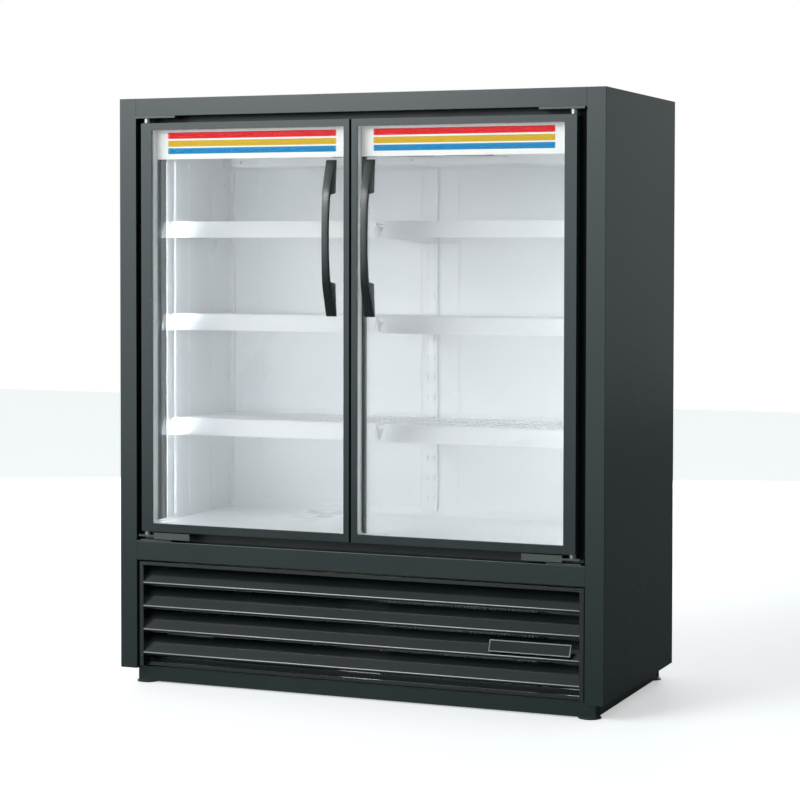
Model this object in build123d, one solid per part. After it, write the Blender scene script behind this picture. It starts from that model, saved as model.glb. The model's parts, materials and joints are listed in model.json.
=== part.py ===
from build123d import *
import os

# Two-door upright glass merchandiser. Millimetres. X runs across, Y from the front (-) to
# the back (+), Z up, with the floor at Z = 0. Depths (d) are measured back from the front
# plane of the posts; negative depths stand out in front of it.

# ---- cabinet envelope ----
WIDTH = 1197.0
HEIGHT = 1386.0
DEPTH = 560.0
SHEET = 1.0
WALL = 41.5                       # side wall, outer skin to liner face
ROOF = 50.0                       # roof, outer skin to ceiling liner
REAR_WALL = 56.2
POST_W = 43.5
BODY_Z = 38.0                     # underside of the cabinet shell
HALF = WIDTH / 2
OPEN_X = HALF - POST_W            # inner edge of each post
ROOF_Z = HEIGHT - SHEET

# ---- front rails ----
HEADER_H = 42.0
HEADER_Z = HEIGHT - HEADER_H
SILL_Z0 = 296.0
SILL_Z1 = 343.0
RAIL_D = 30.0                     # depth of the rails and post returns
SKIN_RETURN = 20.0
RAIL_ROUND = 0.8

# ---- base ----
PAD_H = 3.0
PAD_R = 26.0
STUD_R = 5.0
STUD_CLEAR = 0.25
NUT_R = 9.0
NUT_H = 6.0
CHANNEL_W = 25.0
CHANNEL_T = 2.5
BASE_X = HALF - 28.5
BASE_D0 = 36.0
BASE_D1 = DEPTH - 13.0
CROSS_X = 185.0
FOOT_IN = 18.0                    # foot centre, in from the base's end and from its face
FOOT_BACK = 14.0
FLANGE_X = HALF - 38.5            # inner edge of the side panels' bottom flanges

# ---- door heights, which the doorway follows ----
DOOR_Z0 = SILL_Z1 + 24.0
DOOR_Z1 = HEADER_Z - 17.0

# ---- jambs, liner and foam ----
JAMB_T = 6.0
JAMB_X = OPEN_X - 37.0
JAMB_Z0 = DOOR_Z0 + 15.0
JAMB_Z1 = DOOR_Z1 - 11.0
JAMB_LOW = SILL_Z0 + 4.0
JAMB_HIGH = HEIGHT - 4.0
MULLION_W = 30.0
MULLION_D = 22.0
LINER_T = 0.8
LINER_X = HALF - WALL
LINER_D = DEPTH - REAR_WALL
FLOOR_Z = DOOR_Z0 + 5.0
CEILING_Z = HEIGHT - ROOF
FOAM_LOW = SILL_Z1 - 13.0

# ---- doors ----
DOOR_PROUD = 10.0
DOOR_BACK = 20.0
DOOR_GAP = 5.5                    # between the two meeting stiles
DOOR_X = OPEN_X - 19.0
STILE_HINGE = 28.0
STILE_MEET = 13.75
RAIL_TOP = 16.0
RAIL_BOTTOM = 19.0
LIP_T = 5.0                       # thickness of the frame's front face
RING_T = 3.0                      # white glazing ring
RING_BACK = 18.0
RING_CORNER = 8.0
GROOVE_W = 8.0
GROOVE_T = 3.0
PANE_T = 4.0
PANE_D = (-4.0, 12.0)             # front faces of the outer and inner panes
SIGN_Z = DOOR_Z1 - RAIL_TOP - 68.0
SIGN_T = 1.6
GASKET_BACK = 29.6
GASKET_HINGE = (DOOR_X - 10.0, DOOR_X - 22.0)
GASKET_MEET = (4.0, 13.5)
GASKET_Z = (DOOR_Z0 + 4.0, DOOR_Z0 + 15.0, DOOR_Z1 - 13.0, DOOR_Z1 - 3.0)

# ---- hinges ----
PIVOT_X = DOOR_X - 10.0
PIVOT_D = 5.0
PIN_R = 5.0
PIN_CLEAR = 0.05
COLLAR_R = 9.0
COLLAR_GAP = 1.0
PIN_REACH = 20.0
BORE_REACH = 22.0
TOP_PLATE_T = 5.0
TOP_PLATE_X = (OPEN_X - 107.0, OPEN_X - 2.0)
LOW_PLATE_T = 4.0
LOW_PLATE_Z = SILL_Z1 + 11.0
LOW_PLATE_X = (OPEN_X - 144.0, OPEN_X - 10.0)
LOW_FOOT_X = (OPEN_X - 90.0, OPEN_X - 10.0)
LOW_FOOT_T = 3.0
LOW_LIP_X = OPEN_X - 50.0         # outer end of the bottom plate's upright front lip
LOW_LIP_Z = (LOW_PLATE_Z - 5.0, DOOR_Z0 - 3.0)
LOW_LIP_T = 3.0
PLATE_FRONT = -8.0
PLATE_BACK = 29.0

# ---- handles ----
HANDLE_X = 47.4
HANDLE_LENGTH = 355.0
HANDLE_Z1 = DOOR_Z1 - 92.0
HANDLE_Z0 = HANDLE_Z1 - HANDLE_LENGTH
HANDLE_OUT = 46.0
HANDLE_END_W = 24.0
HANDLE_MID_W = 16.0
HANDLE_FOOT = 76.0
GRIP_T = 8.5
HANDLE_ROUND = 1.6

# ---- lamps ----
LAMP_T = 20.0
LAMP_D = (70.0, 118.0)
LAMP_Z = (FLOOR_Z + 12.0, CEILING_Z - 89.0)
LAMP_GROOVES = 5
LAMP_GROOVE = 2.4
LENS_X = (LINER_X - 18.0, LINER_X - 6.0)
LENS_T = 4.0

# ---- shelves ----
SHELF_TOP = HEIGHT - 292.0         # top of the highest shelf's wires
SHELF_GAPS = (246.0, 253.0, 223.0)  # how the height below it is shared out, from the floor up
SHELF_Z = [FLOOR_Z + (SHELF_TOP - FLOOR_Z) * sum(SHELF_GAPS[:i + 1]) / sum(SHELF_GAPS) for i in range(3)]
PILASTER_W = 12.0
PILASTER_DEEP = 10.0
SHELF_D = (171.0, LINER_D - PILASTER_DEEP - 1.8)
SHELF_X = (5.5, LINER_X - 3.0)
WIRE_R = 1.6
CROSS_R = 3.0
CROSS_SINK = 0.3
WIRES = 24
CROSS_AT = (5.0, 108.0, 213.0, 317.0)
STRIP_H = 39.0
STRIP_RISE = 5.0
STRIP_T = 1.6
STRIP_D = (150.0, 169.0, 171.0, 183.0)   # foot, head, back leg, top hook
STRIP_X = (6.0, LINER_X - 3.0)
STRIP_CUT = 5.5
ARM_T = 2.0
ARM_X = (7.0, LINER_X - 8.0)
ARM_D0 = 172.0
ARM_FRONT = 24.0
ARM_REAR = 40.0
ARM_CORNER = 6.0
ARM_HOLE_R = 3.2
PILASTER_Z = (FLOOR_Z + 12.0, CEILING_Z - 106.0)
SLOT_PITCH = 50.0
SLOT_H = 14.0
SLOT_W = 3.0

# ---- evaporator ----
EVAP_X = LINER_X - 87.0
EVAP_D = LINER_D - 143.8
EVAP_Z = CEILING_Z - 100.0
EVAP_FAN_X = 220.0
EVAP_FAN_D = (EVAP_D + LINER_D) / 2
EVAP_FAN_R = 56.0
EVAP_HUB_R = 18.0
EVAP_FAN_Z = (EVAP_Z + 10.0, EVAP_Z + 28.0)
EVAP_GUARD = (22.0, 34.0, 46.0, 58.0)
GUARD_SLOT = 7.0
GUARD_SPOKE = 5.0
EVAP_MOTOR_R = 28.0
EVAP_MOTOR_Z = (EVAP_Z + 32.0, EVAP_Z + 64.0)
EVAP_STRAP = 16.0
SHAFT_R = 3.0
SHAFT_CLEAR = 0.05
EVAP_BLADES = 5
EVAP_CHORD = 24.0
EVAP_BLADE_T = 1.6
BLADE_PITCH = 28.0
EVAP_VENTS = (-150.0, 0.0, 150.0)
EVAP_VENT = (120.0, 6.0)
EVAP_VENT_ROWS = 4
EVAP_VENT_PITCH = 16.0
EVAP_VENT_Z = EVAP_Z + 20.0
COIL_X = 140.0
COIL_D = (EVAP_D + 15.0, LINER_D - 10.0)
COIL_Z = (EVAP_Z + 12.0, CEILING_Z - 12.0)
COIL_FINS = 30
FIN_CUT = 0.3                     # depth of the fin slots, as a share of the coil
DIAL_X = 330.0
DIAL_Z = EVAP_Z + 54.0
DIAL_R = 18.0
DIAL_T = 14.0
DIAL_GAP = 2.0
DIAL_RIB = 4.0
DIAL_RIB_OUT = 3.0
DIAL_SHAFT = 8.0
ROCKER_X = -330.0
ROCKER_W = 22.0
ROCKER_H = 20.0
ROCKER_T = 12.0
ROCKER_TILT = 8.0
ROCKER_GAP = 1.2
ROCKER_PIVOT_R = 1.5
ROCKER_PIVOT = 1.0

# ---- condensing unit ----
TRAY_T = 1.5
TRAY_LIP = 18.0
TRAY_D = (60.0, DEPTH - 14.0)
COMP_X = -330.0
COMP_D = 330.0
COMP_R = 78.0
COMP_Z = (BODY_Z + 15.0, BODY_Z + 182.0)
COMP_DOME = 42.0
COMP_SEAM = 3.0                   # how far the weld seam stands out, and half its height
COMP_FOOT = (105.0, 65.0, 3.0)
COMP_MOUNT = (92.0, 52.0, 11.0)
COMP_TERMINAL = (28.0, 30.0, 40.0, 100.0)
COMP_STUB_R = 4.0
COMP_STUBS = (40.0, 60.0)
CONDENSER_X = (40.0, 420.0)
CONDENSER_D = (75.0, 117.0)
CONDENSER_Z = (62.0, 282.0)
CONDENSER_FINS = 46
CONDENSER_TUBES = 8
CONDENSER_PLATE = 3.0
CONDENSER_EDGE = 4.0
TUBE_R = 4.0
TUBE_OUT = 10.0
SHROUD_D = 150.0
SHROUD_T = 2.0
SHROUD_RING = (100.0, 103.0)
SHROUD_BACK = 190.0
MOTOR_BAR = (4.0, 7.0)
MOTOR_POST = 15.0
FAN_X = sum(CONDENSER_X) / 2
FAN_Z = sum(CONDENSER_Z) / 2
FAN_R = 94.0
FAN_HUB_R = 24.0
FAN_HUB_D = (160.0, 182.0)
FAN_BLADES = 5
FAN_CHORD = 36.0
FAN_BLADE_T = 2.0
FAN_CAP = 3.0
FAN_SHAFT_R = 4.0
MOTOR_R = 34.0
MOTOR_D = (190.0, 245.0)
EBOX_X = (-520.0, -400.0)
EBOX_D = (90.0, 190.0)
EBOX_Z = (BODY_Z + 2.0, BODY_Z + 112.0)
EBOX_LID = 2.0
EBOX_SCREW_R = 4.0
EBOX_SCREW_IN = 8.0
GLAND_R = 9.0
GLAND_OUT = 18.0
INLET_X = -470.0
INLET_Z = 120.0
INLET_W = 28.0
INLET_H = 22.0
INLET_GAP = 0.3
INLET_DEEP = 24.0
INLET_WALL = 3.0
INLET_RECESS = 14.0
INLET_FLANGE = (8.0, 6.0, 2.0)
INLET_PINS = (-7.0, 0.0, 7.0)
INLET_PIN = (1.0, 3.0)

# ---- rear vents ----
VENT_X = (-200.0, 0.0, 200.0, 400.0)
VENT_ROWS = 9
VENT_Z = 80.0
VENT_PITCH = 24.0
VENT_W = 140.0
VENT_H = 8.0

# ---- grille and badge ----
GRILLE_X = OPEN_X - 4.0
GRILLE_END = 10.0
GRILLE_Z = (BODY_Z + 5.0, SILL_Z0 - 4.0)
GRILLE_D = (6.0, 40.0)
GRILLE_BAR = 8.0
LOUVRE_Z = 74.0                   # nose of the lowest louvre
LOUVRE_PITCH = 55.5
LOUVRE_BACK = 36.0
LOUVRE_RISE = 42.0
LOUVRE_T = 3.0
LOUVRE_NOSE_R = 4.5
LOUVRES = 4
BADGE_X = (GRILLE_X - 220.0, GRILLE_X - 30.0)
BADGE_Z = (140.0, 167.0)
BADGE_D = (2.0, 6.0)
BADGE_LEAN = 3.0
BADGE_RIM = 2.0
BADGE_PIN_R = 3.0
BADGE_PIN_IN = 30.0
BADGE_PIN_BACK = 16.0

# Deepest and foremost points are set evenly about Y = 0.
FRONT_Y = -(DEPTH - HANDLE_OUT) / 2


# ---- helpers ----
def block(x0, x1, d0, d1, z0, z1):
    """Rectangular block between two X, two depth and two Z planes."""
    size = Box(abs(x1 - x0), d1 - d0, z1 - z0)
    return Pos((x0 + x1) / 2, FRONT_Y + (d0 + d1) / 2, (z0 + z1) / 2) * size


def rod_x(x0, x1, d, z, r):
    """Round bar along X."""
    return Pos((x0 + x1) / 2, FRONT_Y + d, z) * (Rot(0, 90, 0) * Cylinder(r, abs(x1 - x0)))


def rod_y(x, d0, d1, z, r):
    """Round bar along Y."""
    return Pos(x, FRONT_Y + (d0 + d1) / 2, z) * (Rot(90, 0, 0) * Cylinder(r, d1 - d0))


def rod_z(x, d, z0, z1, r):
    """Round bar along Z."""
    return Pos(x, FRONT_Y + d, (z0 + z1) / 2) * Cylinder(r, z1 - z0)


def prism_x(points, x0, x1):
    """Outline of (depth, z) points carried along X."""
    face = make_face(Plane.YZ * Polyline(*points, close=True))
    return Pos(min(x0, x1), FRONT_Y, 0) * extrude(face, amount=abs(x1 - x0), dir=(1, 0, 0))


def prism_y(points, d0, d1):
    """Outline of (x, z) points carried back along Y."""
    face = make_face(Plane.XZ * Polyline(*points, close=True))
    return Pos(0, FRONT_Y + d0, 0) * extrude(face, amount=d1 - d0, dir=(0, 1, 0))


def group(*shapes):
    """Separate solids kept together as one piece."""
    return Compound([s for shape in shapes for s in shape.solids()])


def mirrored(shape):
    """The same piece on the other side of the cabinet."""
    return group(mirror(shape, about=Plane.YZ))


def front_edges(shape, d):
    """Long X edges lying on the plane at depth d."""
    y = FRONT_Y + d
    return shape.edges().filter_by(Axis.X).filter_by_position(Axis.Y, y - 0.01, y + 0.01)


# ---- base ----
def base_frame():
    """Channel rails standing on edge: front, rear, two sides and two cross tubes."""
    z0, z1 = PAD_H, BODY_Z
    inner0, inner1 = BASE_D0 + CHANNEL_W, BASE_D1 - CHANNEL_W
    hollow0, hollow1 = z0 + CHANNEL_T, z1 - CHANNEL_T
    front = block(-BASE_X, BASE_X, BASE_D0, inner0, z0, z1)
    front -= block(-BASE_X, BASE_X, BASE_D0 + CHANNEL_T, inner0, hollow0, hollow1)
    rear = block(-BASE_X, BASE_X, inner1, BASE_D1, z0, z1)
    rear -= block(-BASE_X, BASE_X, inner1, BASE_D1 - CHANNEL_T, hollow0, hollow1)
    for x, d in foot_places():
        hole = rod_z(x, d, z0, z1, STUD_R + STUD_CLEAR)
        front -= hole
        rear -= hole
    side = block(-BASE_X, CHANNEL_W - BASE_X, inner0, inner1, z0, z1)
    side -= block(CHANNEL_T - BASE_X, CHANNEL_W - BASE_X, inner0, inner1, hollow0, hollow1)
    half = CHANNEL_W / 2
    cross = block(CROSS_X - half, CROSS_X + half, inner0, inner1, z0, z1)
    cross -= block(CROSS_X - half + CHANNEL_T, CROSS_X + half - CHANNEL_T, inner0, inner1, hollow0, hollow1)
    return group(front, rear, side, mirror(side, about=Plane.YZ), cross, mirror(cross, about=Plane.YZ))


def foot_places():
    """Centres of the four levelling feet, in the front and rear channels."""
    x = BASE_X - FOOT_IN
    d0 = BASE_D0 + FOOT_BACK
    d1 = BASE_D1 - FOOT_BACK
    return [(x, d0), (-x, d0), (x, d1), (-x, d1)]


def levelling_feet():
    """Round pad, stud and lock nut at each corner."""
    feet = []
    for x, d in foot_places():
        pad = rod_z(x, d, 0, PAD_H, PAD_R)
        pad = chamfer(pad.edges().group_by(Axis.Z)[-1], PAD_H * 0.3)
        stud = rod_z(x, d, PAD_H, BODY_Z - CHANNEL_T, STUD_R)
        nut = extrude(RegularPolygon(NUT_R, 6), NUT_H)
        nut = Pos(x, FRONT_Y + d, PAD_H + CHANNEL_T) * nut
        feet.append(pad + stud + nut)
    return group(*feet)


# ---- outer shell ----
def side_panel():
    """Left outer skin with its rear and bottom flanges."""
    skin = block(-HALF, SHEET - HALF, SHEET, DEPTH, BODY_Z, HEIGHT)
    rear = block(SHEET - HALF, SKIN_RETURN - HALF, DEPTH - SHEET, DEPTH, BODY_Z, ROOF_Z)
    low = block(SHEET - HALF, -FLANGE_X, RAIL_D, DEPTH - SHEET, BODY_Z, BODY_Z + SHEET)
    return group(skin, rear, low)


def top_panel():
    """Flat roof skin between the side skins."""
    return block(SHEET - HALF, HALF - SHEET, SHEET, DEPTH, ROOF_Z, HEIGHT)


def back_panel():
    """Rear skin, slotted for air behind the condensing unit and cut for the power inlet."""
    x = HALF - SKIN_RETURN
    panel = block(-x, x, DEPTH - SHEET, DEPTH, BODY_Z + SHEET, ROOF_Z)
    slots = []
    for column in VENT_X:
        for row in range(VENT_ROWS):
            z = VENT_Z + row * VENT_PITCH
            slots.append(block(column - VENT_W / 2, column + VENT_W / 2, DEPTH - SHEET, DEPTH, z, z + VENT_H))
    w, h = INLET_W / 2 + INLET_GAP, INLET_H / 2 + INLET_GAP
    slots.append(block(INLET_X - w, INLET_X + w, DEPTH - SHEET, DEPTH, INLET_Z - h, INLET_Z + h))
    return panel - slots


def post():
    """Left front post: face, outer return and the return beside the door."""
    face = block(-HALF, -OPEN_X, 0, SHEET, BODY_Z, HEIGHT)
    y = FRONT_Y
    front = face.edges().filter_by(Axis.Z).filter_by_position(Axis.Y, y - 0.01, y + 0.01)
    face = chamfer(front, SHEET * 0.5)
    outer = block(SHEET - HALF, 2 * SHEET - HALF, SHEET, SKIN_RETURN, BODY_Z, ROOF_Z)
    inner = block(-OPEN_X - SHEET, -OPEN_X, SHEET, RAIL_D, BODY_Z, ROOF_Z)
    return face + outer + inner


def header_rail():
    """Face of the cabinet above the doors, with its top and bottom returns."""
    face = block(-OPEN_X, OPEN_X, 0, SHEET, HEADER_Z, HEIGHT)
    face = fillet(front_edges(face, 0), RAIL_ROUND)
    low = block(-OPEN_X, OPEN_X, SHEET, RAIL_D, HEADER_Z, HEADER_Z + SHEET)
    high = block(-OPEN_X, OPEN_X, SHEET, SKIN_RETURN, ROOF_Z - SHEET, ROOF_Z)
    return face + low + high


def sill_rail():
    """Folded rail below the doors, rounded along its top and bottom front edges."""
    outer = block(-OPEN_X, OPEN_X, 0, RAIL_D, SILL_Z0, SILL_Z1)
    outer = fillet(front_edges(outer, 0), SHEET * 2)
    return outer - block(-OPEN_X, OPEN_X, SHEET, RAIL_D, SILL_Z0 + SHEET, SILL_Z1 - SHEET)


# ---- jambs, liner, foam ----
def jamb_frame():
    """Flat breaker strips that the door gaskets close on."""
    d0, d1 = RAIL_D, RAIL_D + JAMB_T
    left = block(2 * SHEET - HALF, -JAMB_X, d0, d1, JAMB_LOW, JAMB_HIGH)
    top = block(-JAMB_X, JAMB_X, d0, d1, JAMB_Z1, JAMB_HIGH)
    low = block(-JAMB_X, JAMB_X, d0, d1, JAMB_LOW, JAMB_Z0)
    return group(left, mirror(left, about=Plane.YZ), top, low)


def centre_mullion():
    """Slim hollow post behind the meeting stiles."""
    w = MULLION_W / 2
    tube = block(-w, w, RAIL_D, RAIL_D + MULLION_D, JAMB_Z0, JAMB_Z1)
    return tube - block(SHEET - w, w - SHEET, RAIL_D + SHEET, RAIL_D + MULLION_D - SHEET, JAMB_Z0, JAMB_Z1)


def liner_side():
    """Left inner wall."""
    return block(-LINER_X - LINER_T, -LINER_X, RAIL_D + JAMB_T, LINER_D + LINER_T,
                 FLOOR_Z - LINER_T, CEILING_Z + LINER_T)


def liner_back():
    """Rear inner wall."""
    return block(-LINER_X, LINER_X, LINER_D, LINER_D + LINER_T, FLOOR_Z - LINER_T, CEILING_Z + LINER_T)


def liner_flat(z0):
    """Ceiling or floor sheet of the cold space."""
    return block(-LINER_X, LINER_X, RAIL_D + JAMB_T, LINER_D, z0, z0 + LINER_T)


def foam_insulation():
    """Foamed-in-place insulation between the skins and the liner."""
    d0, d1 = RAIL_D + JAMB_T, DEPTH - SHEET
    outer = block(SHEET - HALF, HALF - SHEET, d0, d1, FOAM_LOW, ROOF_Z)
    cold = block(-LINER_X - LINER_T, LINER_X + LINER_T, d0, LINER_D + LINER_T,
                 FLOOR_Z - LINER_T, CEILING_Z + LINER_T)
    return outer - cold


# ---- lamps ----
def lamp_housing():
    """Left lamp extrusion, grooved along its inner face."""
    d0, d1 = LAMP_D
    face_x = LAMP_T - LINER_X
    body = block(-LINER_X, face_x, d0, d1, *LAMP_Z)
    pitch = (d1 - d0) / (LAMP_GROOVES + 1)
    grooves = []
    for i in range(LAMP_GROOVES):
        d = d0 + pitch * (i + 1)
        grooves.append(block(face_x - LAMP_GROOVE, face_x, d - LAMP_GROOVE / 2, d + LAMP_GROOVE / 2, *LAMP_Z))
    return body - grooves


def lamp_lenses():
    """Light-giving strips on the back of both lamp extrusions."""
    d = LAMP_D[1]
    lens = block(-LENS_X[1], -LENS_X[0], d, d + LENS_T, LAMP_Z[0] + LENS_T, LAMP_Z[1] - LENS_T)
    return group(lens, mirror(lens, about=Plane.YZ))


# ---- shelving ----
def pilaster(x, columns):
    """Slotted standard fixed to the rear liner, with a slot column at each given offset."""
    w = max(PILASTER_W / 2, max(columns) + PILASTER_W / 2)
    d0 = LINER_D - PILASTER_DEEP
    z0, z1 = PILASTER_Z
    body = block(x - w, x + w, d0, LINER_D, z0, z1)
    body -= block(x - w + SHEET, x + w - SHEET, d0 + SHEET, LINER_D, z0, z1)
    slots = []
    for i in range(int((z1 - z0) / SLOT_PITCH)):
        z = z0 + SLOT_PITCH * (i + 0.5)
        for c in columns:
            slots.append(block(x + c - SLOT_W / 2, x + c + SLOT_W / 2, d0, d0 + SHEET, z, z + SLOT_H))
    return body - slots


def pilasters():
    """Two side standards and a double one in the middle."""
    x = LINER_X - PILASTER_W / 2
    middle = MULLION_W / 2 - PILASTER_W / 2
    return group(pilaster(-x, (0,)), pilaster(0, (-middle, middle)), pilaster(x, (0,)))


def shelf(z):
    """Left wire shelf whose wires have their tops at z."""
    x0, x1 = -SHELF_X[1], -SHELF_X[0]
    d0, d1 = SHELF_D
    pitch = (x1 - x0 - 2 * WIRE_R) / (WIRES - 1)
    wires = [rod_y(x0 + WIRE_R + pitch * i, d0, d1, z - WIRE_R, WIRE_R) for i in range(WIRES)]
    sink = z - 2 * WIRE_R - CROSS_R + CROSS_SINK
    cross = [rod_x(x0, x1, d0 + at, sink, CROSS_R) for at in CROSS_AT]
    return cross[0].fuse(*cross[1:], *wires)


def price_strip(z):
    """Left leaning label strip hooked on the front of the shelf at z."""
    foot, head, leg, hook = STRIP_D
    top = z + STRIP_RISE
    low = top - STRIP_H
    outline = [(foot, low), (foot + STRIP_T, low), (leg - STRIP_T, z - WIRE_R), (leg, z - WIRE_R),
               (leg, top - STRIP_T), (hook, top - STRIP_T), (hook, top), (head, top)]
    x0, x1 = -STRIP_X[1], -STRIP_X[0]
    ends = prism_y([(x0, low), (x1, low), (x1 - STRIP_CUT, top), (x0 + STRIP_CUT, top)], foot, hook)
    return prism_x(outline, x0, x1) & ends


def price_strips():
    """The three label strips of the left bay."""
    return group(*[price_strip(z) for z in SHELF_Z])


def shelf_arm(x, z):
    """Cantilever arm under one end of the shelf at z, hooked to a pilaster."""
    top = z - 2 * WIRE_R - 2 * CROSS_R + CROSS_SINK
    d1 = LINER_D - PILASTER_DEEP
    c = ARM_CORNER
    outline = [(ARM_D0, top), (ARM_D0, top - ARM_FRONT + c), (ARM_D0 + c * 0.3, top - ARM_FRONT + c * 0.3),
               (ARM_D0 + c, top - ARM_FRONT), (d1, top - ARM_REAR), (d1, top)]
    arm = prism_x(outline, x, x + ARM_T)
    hole = rod_x(x, x + ARM_T, ARM_D0 + 2 * c, top - ARM_FRONT + 1.5 * c, ARM_HOLE_R)
    return arm - hole


def shelf_arms():
    """Both arms of every shelf."""
    left = [shelf_arm(-x - ARM_T, z) for z in SHELF_Z for x in ARM_X]
    return group(*left, *[mirror(arm, about=Plane.YZ) for arm in left])


# ---- evaporator ----
def guard_slots(x):
    """Ring slots punched in the evaporator's bottom plate under one fan."""
    z0, z1 = EVAP_Z, EVAP_Z + SHEET
    spokes = [block(x - EVAP_FAN_R - GUARD_SLOT, x + EVAP_FAN_R + GUARD_SLOT, EVAP_FAN_D - GUARD_SPOKE / 2,
                    EVAP_FAN_D + GUARD_SPOKE / 2, z0, z1),
              block(x - GUARD_SPOKE / 2, x + GUARD_SPOKE / 2, EVAP_FAN_D - EVAP_FAN_R - GUARD_SLOT,
                    EVAP_FAN_D + EVAP_FAN_R + GUARD_SLOT, z0, z1)]
    rings = []
    for r in EVAP_GUARD:
        ring = rod_z(x, EVAP_FAN_D, z0, z1, r) - rod_z(x, EVAP_FAN_D, z0, z1, r - GUARD_SLOT)
        rings.append(ring - spokes)
    return rings


def evaporator_motor(x):
    """Fan motor on a strap under the ceiling, with its shaft pointing down."""
    strap = block(x - EVAP_STRAP / 2, x + EVAP_STRAP / 2, EVAP_FAN_D - EVAP_STRAP / 2,
                  EVAP_FAN_D + EVAP_STRAP / 2, EVAP_MOTOR_Z[1], CEILING_Z)
    motor = rod_z(x, EVAP_FAN_D, *EVAP_MOTOR_Z, EVAP_MOTOR_R)
    shaft = rod_z(x, EVAP_FAN_D, EVAP_FAN_Z[0] + EVAP_STRAP / 4, EVAP_MOTOR_Z[0], SHAFT_R)
    return strap + motor + shaft


def evaporator_housing():
    """Front, bottom and end plates of the cooling unit under the ceiling, and its motors."""
    x, d0, z0 = EVAP_X, EVAP_D, EVAP_Z
    front = block(-x, x, d0, d0 + SHEET, z0, CEILING_Z)
    front -= rod_y(DIAL_X, d0, d0 + SHEET, DIAL_Z, SHAFT_R + SHAFT_CLEAR)
    w, h = ROCKER_W / 2 + ROCKER_GAP, ROCKER_H / 2 + ROCKER_GAP
    front -= block(ROCKER_X - w, ROCKER_X + w, d0, d0 + SHEET, DIAL_Z - h, DIAL_Z + h)
    w, h = EVAP_VENT[0] / 2, EVAP_VENT[1]
    rows = [EVAP_VENT_Z + EVAP_VENT_PITCH * i for i in range(EVAP_VENT_ROWS)]
    front -= [block(c - w, c + w, d0, d0 + SHEET, z, z + h) for c in EVAP_VENTS for z in rows]
    low = block(-x, x, d0 + SHEET, LINER_D, z0, z0 + SHEET)
    low -= guard_slots(-EVAP_FAN_X) + guard_slots(EVAP_FAN_X)
    end = block(-x, SHEET - x, d0 + SHEET, LINER_D, z0 + SHEET, CEILING_Z)
    return group(front, low, end, mirror(end, about=Plane.YZ),
                 evaporator_motor(-EVAP_FAN_X), evaporator_motor(EVAP_FAN_X))


def finned(x0, x1, d0, d1, z0, z1, count):
    """Block of fins cut by even vertical slots on its front and back."""
    body = block(x0, x1, d0, d1, z0, z1)
    pitch = (x1 - x0) / count
    deep = (d1 - d0) * FIN_CUT
    cuts = []
    for i in range(count):
        x = x0 + pitch * (i + 0.5)
        cuts.append(block(x - pitch / 4, x + pitch / 4, d0, d0 + deep, z0, z1))
        cuts.append(block(x - pitch / 4, x + pitch / 4, d1 - deep, d1, z0, z1))
    return body - cuts


def evaporator_coil():
    """Finned coil between the two evaporator fans."""
    return finned(-COIL_X, COIL_X, *COIL_D, *COIL_Z, COIL_FINS)


def blades(count, inner, outer, chord, thick):
    """Pitched flat blades around the Z axis."""
    length = outer - inner
    blade = Pos(inner + length / 2, 0, 0) * (Rot(BLADE_PITCH, 0, 0) * Box(length, chord, thick))
    return [Rot(0, 0, 360 / count * i) * blade for i in range(count)]


def evaporator_fan(x):
    """Small axial fan on the motor shaft."""
    z0, z1 = EVAP_FAN_Z
    hub = Cylinder(EVAP_HUB_R, z1 - z0)
    fan = hub.fuse(*blades(EVAP_BLADES, EVAP_HUB_R - EVAP_BLADE_T, EVAP_FAN_R, EVAP_CHORD, EVAP_BLADE_T))
    fan -= Cylinder(SHAFT_R + SHAFT_CLEAR, z1 - z0)
    return Pos(x, FRONT_Y + EVAP_FAN_D, (z0 + z1) / 2) * fan


def thermostat_dial():
    """Round temperature dial with a pointer rib and a shaft through the front plate."""
    d1 = EVAP_D - DIAL_GAP
    d0 = d1 - DIAL_T
    knob = rod_y(DIAL_X, d0, d1, DIAL_Z, DIAL_R)
    knob = chamfer(knob.edges().group_by(Axis.Y)[0], DIAL_T * 0.1)
    w = DIAL_RIB / 2
    rib = block(DIAL_X - w, DIAL_X + w, d0 - DIAL_RIB_OUT, d0 + w, DIAL_Z - w, DIAL_Z + DIAL_R - w)
    shaft = rod_y(DIAL_X, d1, EVAP_D + DIAL_SHAFT, DIAL_Z, SHAFT_R)
    return knob + rib + shaft


def light_switch():
    """Rocker of the lamp switch on its two pivots, resting tipped to its on side."""
    h, t = ROCKER_H / 2, ROCKER_T / 2
    outline = [(-t, h), (-t * 0.6, 0), (-t, -h), (t, -h * 0.6), (t, h * 0.6)]
    face = make_face(Plane.YZ * Polyline(*outline, close=True))
    rocker = Pos(-ROCKER_W / 2, 0, 0) * extrude(face, amount=ROCKER_W, dir=(1, 0, 0))
    rocker += Rot(0, 90, 0) * Cylinder(ROCKER_PIVOT_R, ROCKER_W + 2 * ROCKER_PIVOT)
    return Pos(ROCKER_X, FRONT_Y + EVAP_D + SHEET / 2, DIAL_Z) * (Rot(-ROCKER_TILT, 0, 0) * rocker)


# ---- condensing unit ----
def condensing_tray():
    """Base sheet of the condensing unit with a raised lip at the front and the rear."""
    x = FLANGE_X - 1
    z = BODY_Z + TRAY_T
    d0, d1 = TRAY_D
    plate = block(-x, x, d0, d1, BODY_Z, z)
    front = block(-x, x, d0, d0 + TRAY_T, z, z + TRAY_LIP)
    rear = block(-x, x, d1 - TRAY_T, d1, z, z + TRAY_LIP)
    return group(plate, front, rear)


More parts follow.
